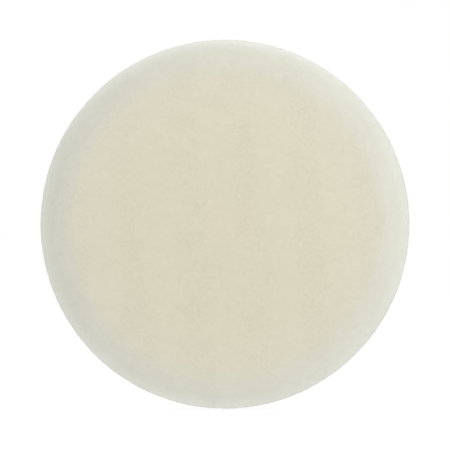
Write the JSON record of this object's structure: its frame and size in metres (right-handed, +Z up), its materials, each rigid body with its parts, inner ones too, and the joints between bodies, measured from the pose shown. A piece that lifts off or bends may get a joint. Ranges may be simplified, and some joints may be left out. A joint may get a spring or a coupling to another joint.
{
  "type": "polishing wheel",
  "caption": "Round felt polishing wheel with a rounded shoulder, held by hook and loop on a cushioned, threaded backing plate.",
  "frame": {"origin": "on the spin axis, at the end face of the threaded hub, where the spindle's shoulder seats", "axes": "+Y along the spin axis, out of the hub's threaded mouth towards the machine; the working face looks along -Y; +Z up"},
  "size_m": [0.15, 0.0633, 0.15],
  "materials": {
    "felt": "dense needle-punched wool felt, undyed cream",
    "loop": "brushed polyamide loop cloth, natural white",
    "adhesive": "hot-melt adhesive film, amber",
    "hook": "moulded nylon hooks, black",
    "foam": "dense polyurethane foam, grey, fine closed cells",
    "plate": "glass-filled nylon, black, finely moulded",
    "zinc_steel": "turned steel with bright zinc plating",
    "rivet_steel": "cold-headed steel, plated, satin"
  },
  "bodies": {
    "backing": {"hook_sheet": "hook", "hook_adhesive": "adhesive", "cushion": "foam", "cushion_adhesive": "adhesive", "backing_plate": "plate", "clamp_ring": "zinc_steel", "rivets": "rivet_steel", "threaded_hub": "zinc_steel"},
    "pad": {"felt_pad": "felt", "loop_adhesive": "adhesive", "loop_cloth": "loop"}
  },
  "joints": [
    {"name": "pad_pull_off", "type": "slide", "parent": "backing", "child": "pad", "axis": [0, -1, 0], "range_m": [0, 0.06]}
  ]
}
